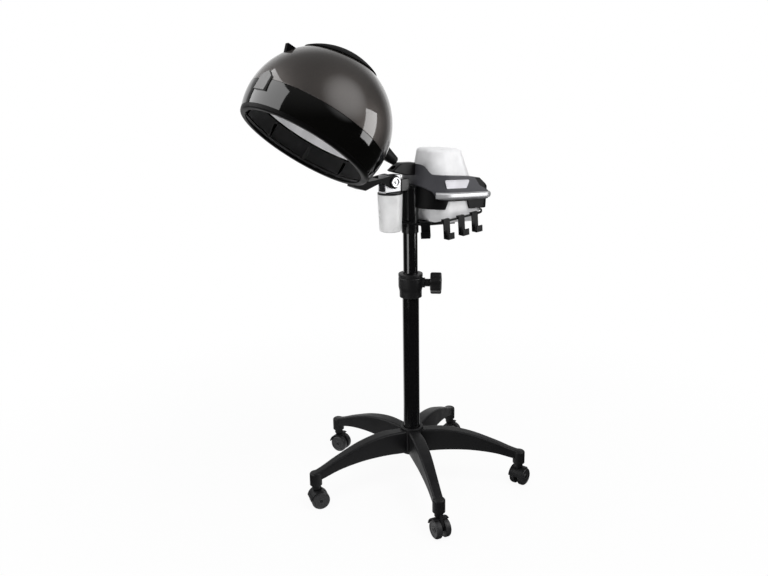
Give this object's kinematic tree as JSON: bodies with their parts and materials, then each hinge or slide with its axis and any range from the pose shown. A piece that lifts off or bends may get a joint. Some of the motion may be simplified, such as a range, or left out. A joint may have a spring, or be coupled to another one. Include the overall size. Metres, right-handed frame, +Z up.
{
  "type": "hair steamer",
  "caption": "Salon hair steamer: round hood tilting on a telescopic mast, steam unit with lift-off water tank, drain cup and hook rack, on a star base with twin-wheel casters.",
  "frame": {"origin": "on the floor, under the middle of the part's bounding box", "axes": "+Z up, -Y towards the hood's open front, +X the side with the display window"},
  "size_m": [0.628, 0.7452, 1.2042],
  "materials": {
    "base_black_nylon": "satin",
    "tube_black_enamel": "gloss",
    "moulded_black": "satin",
    "gloss_black": "gloss",
    "dome_brown_grey": "metallic gloss",
    "liner_pale_grey": "satin",
    "bezel_dark_grey": "satin",
    "unit_white": "satin",
    "tank_white": "satin",
    "window_pale": "gloss",
    "chrome": "polished",
    "zinc_plate": "satin",
    "steel": "satin",
    "cast_aluminium": "cast",
    "board_green": "satin"
  },
  "bodies": {
    "base": {"star_base": "base_black_nylon", "hub_bolt": "steel", "lower_tube": "tube_black_enamel", "height_collar": "moulded_black", "collar_bush": "moulded_black"},
    "caster_1": {"caster_fork_1": "base_black_nylon"},
    "caster_2": {"caster_fork_2": "base_black_nylon"},
    "caster_3": {"caster_fork_3": "base_black_nylon"},
    "caster_4": {"caster_fork_4": "base_black_nylon"},
    "caster_5": {"caster_fork_5": "base_black_nylon"},
    "wheel_left_1": {"caster_wheel_left_1": "base_black_nylon"},
    "wheel_left_2": {"caster_wheel_left_2": "base_black_nylon"},
    "wheel_left_3": {"caster_wheel_left_3": "base_black_nylon"},
    "wheel_left_4": {"caster_wheel_left_4": "base_black_nylon"},
    "wheel_left_5": {"caster_wheel_left_5": "base_black_nylon"},
    "wheel_right_1": {"caster_wheel_right_1": "base_black_nylon"},
    "wheel_right_2": {"caster_wheel_right_2": "base_black_nylon"},
    "wheel_right_3": {"caster_wheel_right_3": "base_black_nylon"},
    "wheel_right_4": {"caster_wheel_right_4": "base_black_nylon"},
    "wheel_right_5": {"caster_wheel_right_5": "base_black_nylon"},
    "knob": {"clamp_knob": "moulded_black"},
    "slider": {"mast_guide": "moulded_black"},
    "mast": {"upper_tube": "tube_black_enamel", "mast_head": "moulded_black", "hinge_bracket": "zinc_plate", "pivot_bolt": "chrome", "pivot_nut": "steel", "unit_chassis": "moulded_black", "unit_bezel": "bezel_dark_grey", "unit_base": "unit_white", "display_window": "window_pale", "trim_bar_left": "chrome", "trim_bar_right": "chrome", "steam_nozzle": "moulded_black", "steam_pipe": "steel", "boiler": "cast_aluminium", "heater": "cast_aluminium", "control_board": "board_green", "cable_gland": "moulded_black", "cup_lid": "moulded_black", "rack_ring": "moulded_black", "hook_left_1": "moulded_black", "hook_left_2": "moulded_black", "hook_left_3": "moulded_black", "hook_right_1": "moulded_black", "hook_right_2": "moulded_black", "hook_right_3": "moulded_black"},
    "hood": {"hood_arm": "moulded_black", "hood_dome": "dome_brown_grey", "hood_band": "gloss_black", "hood_rim": "moulded_black", "hood_liner": "liner_pale_grey", "crown_cap": "moulded_black", "front_fin": "moulded_black", "front_tab": "dome_brown_grey", "steam_inlet": "moulded_black"},
    "tank": {"water_tank": "tank_white", "tank_cap": "moulded_black"},
    "cup": {"drain_cup": "unit_white"},
    "switch": {"power_switch": "moulded_black"}
  },
  "joints": [
    {"name": "caster_swivel_1", "type": "hinge", "parent": "base", "child": "caster_1", "pos_m": [-0.03096, -0.21913, 0.0675], "axis": [0, 0, 1], "continuous": true},
    {"name": "caster_swivel_2", "type": "hinge", "parent": "base", "child": "caster_2", "pos_m": [0.27898, -0.05085, 0.0675], "axis": [0, 0, 1], "continuous": true},
    {"name": "caster_swivel_3", "type": "hinge", "parent": "base", "child": "caster_3", "pos_m": [0.21471, 0.29591, 0.0675], "axis": [0, 0, 1], "continuous": true},
    {"name": "caster_swivel_4", "type": "hinge", "parent": "base", "child": "caster_4", "pos_m": [-0.13495, 0.34195, 0.0675], "axis": [0, 0, 1], "continuous": true},
    {"name": "caster_swivel_5", "type": "hinge", "parent": "base", "child": "caster_5", "pos_m": [-0.28678, 0.02363, 0.0675], "axis": [0, 0, 1], "continuous": true},
    {"name": "wheel_left_spin_1", "type": "hinge", "parent": "caster_1", "child": "wheel_left_1", "pos_m": [-0.02855, -0.2115, 0.025], "axis": [-0.9537, 0.3007, 0], "continuous": true},
    {"name": "wheel_right_spin_1", "type": "hinge", "parent": "caster_1", "child": "wheel_right_1", "pos_m": [-0.02855, -0.2115, 0.025], "axis": [-0.9537, 0.3007, 0], "continuous": true},
    {"name": "wheel_left_spin_2", "type": "hinge", "parent": "caster_2", "child": "wheel_left_2", "pos_m": [0.28683, -0.05238, 0.025], "axis": [0.1908, 0.9816, 0], "continuous": true},
    {"name": "wheel_right_spin_2", "type": "hinge", "parent": "caster_2", "child": "wheel_right_2", "pos_m": [0.28683, -0.05238, 0.025], "axis": [0.1908, 0.9816, 0], "continuous": true},
    {"name": "wheel_left_spin_3", "type": "hinge", "parent": "caster_3", "child": "wheel_left_3", "pos_m": [0.21284, 0.30369, 0.025], "axis": [-0.9724, -0.2334, 0], "continuous": true},
    {"name": "wheel_right_spin_3", "type": "hinge", "parent": "caster_3", "child": "wheel_right_3", "pos_m": [0.21284, 0.30369, 0.025], "axis": [-0.9724, -0.2334, 0], "continuous": true},
    {"name": "wheel_left_spin_4", "type": "hinge", "parent": "caster_4", "child": "wheel_left_4", "pos_m": [-0.12761, 0.34514, 0.025], "axis": [-0.3987, 0.9171, 0], "continuous": true},
    {"name": "wheel_right_spin_4", "type": "hinge", "parent": "caster_4", "child": "wheel_right_4", "pos_m": [-0.12761, 0.34514, 0.025], "axis": [-0.3987, 0.9171, 0], "continuous": true},
    {"name": "wheel_left_spin_5", "type": "hinge", "parent": "caster_5", "child": "wheel_left_5", "pos_m": [-0.27944, 0.02682, 0.025], "axis": [-0.3987, 0.9171, 0], "continuous": true},
    {"name": "wheel_right_spin_5", "type": "hinge", "parent": "caster_5", "child": "wheel_right_5", "pos_m": [-0.27944, 0.02682, 0.025], "axis": [-0.3987, 0.9171, 0], "continuous": true},
    {"name": "knob_turn", "type": "hinge", "parent": "base", "child": "knob", "pos_m": [0.0082, 0.0783, 0.5853], "axis": [0.6884, 0.7254, 0], "range_deg": [0, 360]},
    {"name": "mast_height", "type": "slide", "parent": "base", "child": "slider", "axis": [0, 0, 1], "range_m": [-0.04, 0.25]},
    {"name": "mast_swivel", "type": "hinge", "parent": "slider", "child": "mast", "pos_m": [0.0082, 0.0783, 0.25], "axis": [0, 0, 1], "continuous": true},
    {"name": "hood_tilt", "type": "hinge", "parent": "mast", "child": "hood", "pos_m": [0.0082, 0.0118, 0.8643], "axis": [1, 0, 0], "range_deg": [-2, 37]},
    {"name": "tank_lift", "type": "slide", "parent": "mast", "child": "tank", "axis": [0, 0.0698, 0.9976], "range_m": [0, 0.12]},
    {"name": "cup_drop", "type": "slide", "parent": "mast", "child": "cup", "axis": [0, 0, 1], "range_m": [-0.06, 0]},
    {"name": "switch_rock", "type": "hinge", "parent": "mast", "child": "switch", "pos_m": [0.0382, 0.28502, 0.78704], "axis": [1, 0, 0], "range_deg": [-8, 8]}
  ]
}
